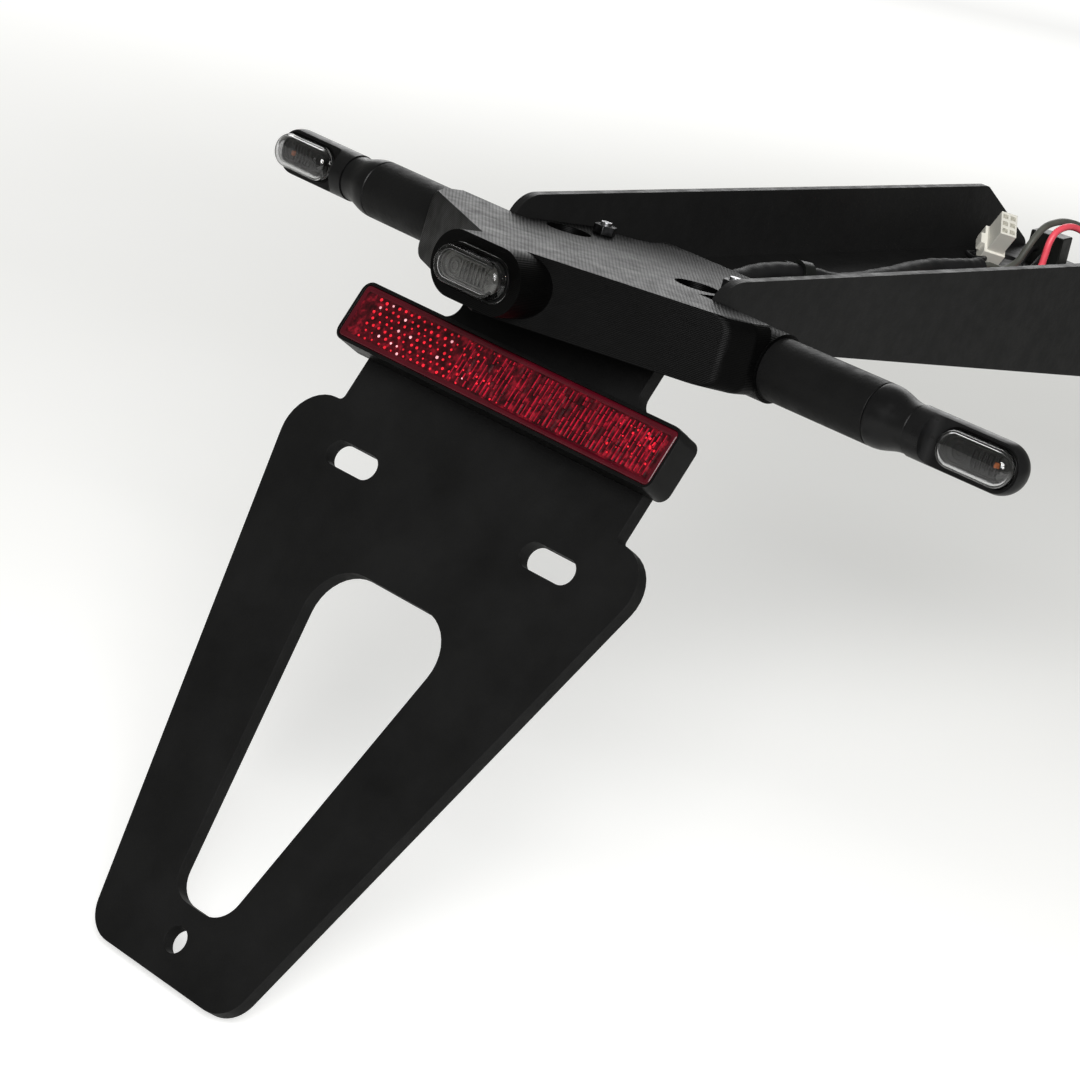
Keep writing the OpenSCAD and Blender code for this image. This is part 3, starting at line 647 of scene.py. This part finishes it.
def lamp_inside(name, node, place, depth, material, ring_x, diode_x=None):
    """A lamp's tray with its ribs and its ring, two bars and perhaps a diode."""
    r = LENS_R - 1.25
    back = depth - 0.35
    sections = [(r, depth), (r, depth - 1.1), (r - 0.3, depth - 1.15), (r - 0.5, back)]
    parts = [loft([oval(LENS_ARM, *section) for section in sections])]
    for k in range(RIB_COUNT):
        x = (k / (RIB_COUNT - 1) - 0.5) * RIB_SPAN
        if abs(x - ring_x) < RING_CLEAR:
            continue
        parts.append(block((x - 0.16, back - 0.75, -RIB_HALF), (x + 0.16, back, RIB_HALF)))
        for low, high in ((-0.6, -0.2), (0.1, 0.55)):
            parts.append(block((x + 0.25, back - 0.4, RIB_HALF * low),
                               (x + 0.75, back, RIB_HALF * high)))
    parts.append(torus((ring_x, back - 0.35, 0), 2.2, 0.28))
    parts.append(torus((ring_x, back - 0.3, 0), 1.1, 0.2))
    verts, faces = join_parts(parts)
    o = add_piece(name, verts, faces, material, place, smooth=False)
    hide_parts(node)

    bars = []
    for low, high in ((r - 0.95, r - 0.6), (0.6 - r, 0.95 - r)):
        bars.append(block((-LENS_ARM, back - 0.55, low), (LENS_ARM, back - 0.1, high)))
    verts, faces = join_parts(bars)
    add_piece(name + "_bars", verts, faces, material, place, smooth=False)
    if diode_x is not None:
        verts, faces = block((diode_x - 0.55, back - 1.0, -0.2),
                             (diode_x + 0.55, back - 0.2, 1.1))
        bevelled(add_piece(name + "_diode", verts, faces, AMBER, place), 0.15,
                 angle=40)


def gasket(name, place, r_in, r_out, y_low, y_high):
    """A soft black ring round a lens."""
    loops = [oval(LENS_ARM, r, y) for r, y in (
        (r_in, y_high), (r_in, y_low + 0.15), (r_in + 0.15, y_low),
        (r_out - 0.2, y_low), (r_out, y_low + 0.2), (r_out, y_high))]
    verts, faces = loft(loops, close=True)
    add_piece(name, verts, faces, GASKET, place)


# The tail lens is sunk this far in the nose; an indicator's stands out this far.
LENS_SINK = 0.2
LENS_LIFT = 0.2

nose = BODY @ Matrix.Translation(Vector((0, NOSE_Y + LENS_SINK, NOSE_Z)))
make_lens("tail_lens_shell", "tail_lens", nose, round_r=0.7, rim_r=0.9)
lamp_inside("tail_lamp_inside", "tail_lamp_board", nose, -1.0, LAMP_SILVER, ring_x=-5.2)
gasket("tail_lens_rim", nose, LENS_R + 0.06, LENS_R + 0.85, -0.55, 0.0)

for side, word in ((-1, "left"), (1, "right")):
    collar(side, word)
    seat = stalk_frame(side) @ Matrix.Translation(Vector((LENS_X, -LENS_SEAT, 0)))
    make_lens("indicator_lens_shell_" + word, "indicator_lens_" + word,
              seat @ Matrix.Translation(Vector((0, -LENS_LIFT, 0))), round_r=2.9)
    lamp_inside("indicator_inside_" + word, "indicator_board_" + word, seat, 0.9,
                LAMP_DARK, ring_x=-5.0, diode_x=5.6)
    gasket("indicator_rim_" + word, seat, LENS_R + 0.03, LENS_R + 0.6, -0.5, -0.02)


# Red reflector

def rounded_rect(w, h, r, z, steps=5):
    """A rounded rectangle at height z, as points."""
    points = []
    for cx, cy, start in ((w / 2 - r, h / 2 - r, 0), (r - w / 2, h / 2 - r, 90),
                          (r - w / 2, r - h / 2, 180), (w / 2 - r, r - h / 2, 270)):
        for k in range(steps + 1):
            a = math.radians(start + 90 * k / steps)
            points.append((cx + r * math.cos(a), cy + r * math.sin(a), z))
    return points


# The reflector lens's own sizes; places along it run from the cells' left end.
LENS_PLAY = 0.2
LENS_BORDER = 1.15
FIELD_Z = -0.3
CELL_PITCH = (2.45, 1.75)
CELLS_FROM = 4.5
CELLS_TO = 56.0
CELLS_FADE_FROM = 34.0
GLINT_SHARE = 0.08
PRISMS_FROM = 38.0
PRISM_PITCH = 1.5
PRISM_HALF = 0.6
SPARK_COUNT = 26


def reflector_cell(x, y, r):
    """A small eight-sided dome on the reflector's field."""
    corners = [math.pi / 4 * k for k in range(8)]
    return loft([
        [(x + r * s * math.cos(a), y + r * s * math.sin(a), z) for a in corners]
        for s, z in ((1.0, FIELD_Z), (0.8, -0.12), (0.35, -0.03))])


def make_reflector():
    """A red lens with a bevelled border and its cells raised on its field."""
    w = REFLECTOR_W - 2 * REFLECTOR_RIM - LENS_PLAY
    h = REFLECTOR_H - 2 * REFLECTOR_RIM - LENS_PLAY
    place = PLATE @ Matrix.Translation(Vector((0, REFLECTOR_RISE, REFLECTOR_T)))
    sections = [(0, 1.4, -3.0), (0, 1.4, -0.25), (0.25, 1.2, -0.02), (0.5, 1.1, 0.1),
                (LENS_BORDER, 0.8, 0.1), (LENS_BORDER + 0.35, 0.6, FIELD_Z)]
    loops = [rounded_rect(w - 2 * inset, h - 2 * inset, r, z) for inset, r, z in sections]
    verts, faces = loft(loops)
    edge = add_piece("reflector_glass", verts, faces, RED_EDGE, place)
    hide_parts("reflector_lens")
    edge.data.materials.append(RED_FIELD)
    edge.data.polygons[-1].material_index = 1
    edge.data.polygons[-1].use_smooth = False

    rng = random.Random(7)
    half_w = w / 2 - LENS_BORDER - 0.9
    half_h = h / 2 - LENS_BORDER - 0.7
    dots, glints, lines, prisms = [], [], [], []

    # Round cells at the left, in staggered rows; they glow as painted retroreflection, a few as
    # painted glints
    pitch_x, pitch_y = CELL_PITCH
    for row in range(int(2 * half_h / pitch_y) + 1):
        y = -half_h + 0.35 + row * pitch_y
        x = CELLS_FROM - half_w + row % 2 * pitch_x / 2
        while x < CELLS_TO - half_w:
            fade = max(0.0, (x + half_w - CELLS_FADE_FROM) / (CELLS_TO - CELLS_FADE_FROM))
            r = 0.42 * (1 - 0.4 * fade) * rng.uniform(0.6, 1.15)
            if rng.random() > 0.75 * fade:
                at_x = x + rng.uniform(-0.3, 0.3)
                at_y = y + rng.uniform(-0.25, 0.25)
                kind = glints if rng.random() < GLINT_SHARE else dots
                kind.append(reflector_cell(at_x, at_y, r))
            x += pitch_x

    # Rows of prisms from the middle to the right, with glowing strips on their ridges as painted
    # highlights
    x = PRISMS_FROM - half_w
    while x < half_w - 0.3:
        y = -half_h
        lit_share = 0.6 + 0.35 * (x + half_w) / (2 * half_w)
        while y < half_h - 0.4:
            top = min(y + rng.uniform(1.2, 4.5), half_h)
            a, b = x - PRISM_HALF, x + PRISM_HALF
            lean = rng.uniform(-0.12, 0.12)
            ridge = rng.uniform(-0.16, -0.05)
            prisms.append((
                [(a, y, FIELD_Z), (b, y, FIELD_Z), (b, top, FIELD_Z), (a, top, FIELD_Z),
                 (x + lean, y + 0.1, ridge), (x + lean, top - 0.1, ridge)],
                [(0, 1, 4), (1, 2, 5, 4), (2, 3, 5), (3, 0, 4, 5), (3, 2, 1, 0)],
            ))
            if rng.random() < lit_share:
                half = rng.uniform(0.08, 0.2)
                at = x + lean + 0.1
                lines.append(block((at - half, y + 0.1, ridge - 0.1),
                                   (at + half, top - 0.08, ridge + 0.04)))
            y = top + 0.06
        x += PRISM_PITCH

    # Sparks at the right end: small glowing cells as painted glints
    for _ in range(SPARK_COUNT):
        x = half_w - abs(rng.gauss(0, 9)) - 1.0
        y = rng.uniform(0.4 - half_h, half_h - 0.5)
        dots.append(reflector_cell(x, y, rng.uniform(0.15, 0.42)))

    # Cells, glints and lit ridges get glowing materials: painted retroreflection, not lamps.
    for name, parts, material in (
            ("reflector_glowing_cells", dots, RED_GLOW_DOTS), ("reflector_glints", glints, RED_GLINTS),
            ("reflector_lit_ridges", lines, RED_GLOW_LINES), ("reflector_prisms", prisms, RED_FIELD)):
        verts, faces = join_parts(parts)
        add_piece(name, verts, faces, material, place, smooth=False)


make_reflector()


# Loom and tails

LOOM_D = 6.0
LOOM_ROUTE = [
    (-2, -205, 13.7), (-2, -196, 12.6), (-2, -183, 11.2), (-2, -169, 9.6),
    (-2, -155, 8), (-2, -143, 6.7), (-2, -137, 6.1), (-3, -130, 7),
    (-4, -122, 7.8), (-4.5, -114, 8.1), (-4, -106, 7.7), (-2.5, -100, 6.9),
    (-0.5, -93, 5.9), (-0.5, -85, 5.6), (-2, -75, 5.6), (-4, -64, 5.6),
    (-6.5, -54, 5.6), (-8.5, -44, 5.6), (-8.5, -36, 5.7), (-7, -29, 5.9),
    (-6.5, -25, 6), (-6.5, -21, 6),
]


def loom_radius(share):
    """The sleeve's radius, a little uneven, with a worn lip at its end."""
    wrinkle = 0.06 * math.sin(share * 190) + 0.05 * math.sin(share * 83 + 1)
    lip = 0.16 if share > 0.985 else 0.0
    return LOOM_D / 2 + wrinkle - 0.1 + lip


verts, faces = sweep(smooth_route(LOOM_ROUTE, 12), loom_radius, 24)
loom = add_piece("loom_sleeve_tube", verts, faces, SLEEVE, WORLD)
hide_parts("loom")

TAIL_D = 1.4
TAILS = [
    [(-8.6, -21, 6.9), (-8.6, -18.5, 6.9), (-10.8, -15.5, 6), (-14, -12.8, 4.6),
     (-18.3, -9.8, 3.4), (-20.4, -6.4, 3.4), (-20, -4.2, 3.4), (-18, -3.5, 3.9),
     (-16.7, -4, 5.5)],
    [(-7.2, -21, 8.2), (-7.2, -18.5, 8.2), (-9.6, -14.8, 7.8), (-13.5, -11.6, 6.4),
     (-18.6, -8.6, 5.2), (-22.4, -6, 5.2), (-22.9, -3, 4.8), (-20.8, -1.6, 5.4),
     (-18.5, -2.4, 7.4)],
    [(-8.3, -21, 4.6), (-8.3, -18, 4.6), (-9.2, -12, 4.2), (-10, -5, 4), (-11, 4, 3.8),
     (-14, 11, 5.5), (-16, 16.2, 7.5), (-17, 20, 7.5)],
    [(-6.9, -21, 3.8), (-6.9, -18, 3.8), (-7.5, -11, 3.8), (-7.6, -4, 3.6), (-8, 4, 3.6),
     (-10, 11, 5.3), (-12, 17.2, 7.5), (-13, 20.9, 7.5)],
]
for i, route in enumerate(TAILS):
    verts, faces = sweep(smooth_route(route), TAIL_D / 2, 12)
    tail = add_piece(f"connector_tail_{i + 1}", verts, faces, SLEEVE, WORLD)
    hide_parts("connector_tails")


# Floor, backdrop and light

FLOOR_HALF = 6.0
FLOOR_GAP = 0.0015

# The camera sees the floor glow, least round this place beyond the tray: a painted shadow of the
# tray.
FLOOR_SHADOW_AT = (-0.3, 0.52, 0.0)
GLOW_REACH = 2.0
GLOW_LEVELS = ((0.0, 0.0), (0.06, 0.0), (0.16, 0.1), (0.27, 0.27), (0.45, 0.5), (0.75, 1.0))


def make_floor():
    """A pale floor that takes the object's shadow and glows for the camera, with a painted
    shadow where its glow is weakest.
    """
    low = min(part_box(n)[0].z for n in nodes)
    corners = [(-1, -1), (1, -1), (1, 1), (-1, 1)]
    mesh = bpy.data.meshes.new("floor")
    mesh.from_pydata([(x * FLOOR_HALF, y * FLOOR_HALF, 0) for x, y in corners],
                     [], [(0, 1, 2, 3)])
    floor = bpy.data.objects.new("floor", mesh)
    floor.location.z = low - FLOOR_GAP
    bpy.context.scene.collection.objects.link(floor)
    s = Shader("floor_pale", (0.86, 0.86, 0.84), 0.6, 0.2)
    s.color(s.ramp(s.noise(3, 3), [(0.3, (0.84, 0.84, 0.82)), (0.7, (0.88, 0.88, 0.865))]))
    rays = s.tree.nodes.new("ShaderNodeLightPath")
    seen = s.math("MAXIMUM", rays.outputs["Is Camera Ray"],
                  rays.outputs["Is Transmission Ray"])
    # The glow dips round one place beyond the tray: a painted shadow.
    reach = s.tree.nodes.new("ShaderNodeVectorMath")
    reach.operation = "DISTANCE"
    s.link(s.coords, reach.inputs[0])
    reach.inputs[1].default_value = FLOOR_SHADOW_AT
    level = s.ramp(s.math("DIVIDE", reach.outputs["Value"], GLOW_REACH),
                   [(share, (light,) * 3) for share, light in GLOW_LEVELS])
    glow = s.tree.nodes.new("ShaderNodeEmission")
    s.link(s.math("MULTIPLY", seen, level), glow.inputs["Strength"])
    both = s.tree.nodes.new("ShaderNodeAddShader")
    out = s.tree.nodes["Material Output"]
    s.link(s.bsdf.outputs[0], both.inputs[0])
    s.link(glow.outputs[0], both.inputs[1])
    s.link(both.outputs[0], out.inputs["Surface"])
    mesh.materials.append(s.material)


def make_world():
    """A white backdrop for what is seen, and a plain pale light."""
    world = bpy.data.worlds.new("world")
    bpy.context.scene.world = world
    world.use_nodes = True
    tree = world.node_tree
    tree.nodes.clear()
    rays = tree.nodes.new("ShaderNodeLightPath")
    lit = tree.nodes.new("ShaderNodeBackground")
    lit.inputs["Color"].default_value = (1, 1, 0.95, 1)
    lit.inputs["Strength"].default_value = 0.2
    seen = tree.nodes.new("ShaderNodeBackground")
    seen.inputs["Color"].default_value = (1, 1, 1, 1)
    seen.inputs["Strength"].default_value = 1.0
    mix = tree.nodes.new("ShaderNodeMixShader")
    out = tree.nodes.new("ShaderNodeOutputWorld")
    tree.links.new(rays.outputs["Is Camera Ray"], mix.inputs["Fac"])
    tree.links.new(lit.outputs[0], mix.inputs[1])
    tree.links.new(seen.outputs[0], mix.inputs[2])
    tree.links.new(mix.outputs[0], out.inputs["Surface"])


def area_light(name, place, target, size, power):
    """A square soft box that looks at a point."""
    data = bpy.data.lights.new(name, "AREA")
    data.size = size
    data.energy = power
    lamp = bpy.data.objects.new(name, data)
    lamp.location = place
    way = Vector(target) - Vector(place)
    lamp.rotation_euler = way.to_track_quat("-Z", "Y").to_euler()
    bpy.context.scene.collection.objects.link(lamp)


make_floor()
make_world()
area_light("soft_box_key", (1.0, -1.2, 0.8), (0, -0.1, -0.1), 0.8, 28)
area_light("soft_box_back", (-1.0, 1.0, 0.62), (0, -0.15, 0), 1.1, 8.5)
bpy.context.scene.view_settings.view_transform = "Standard"
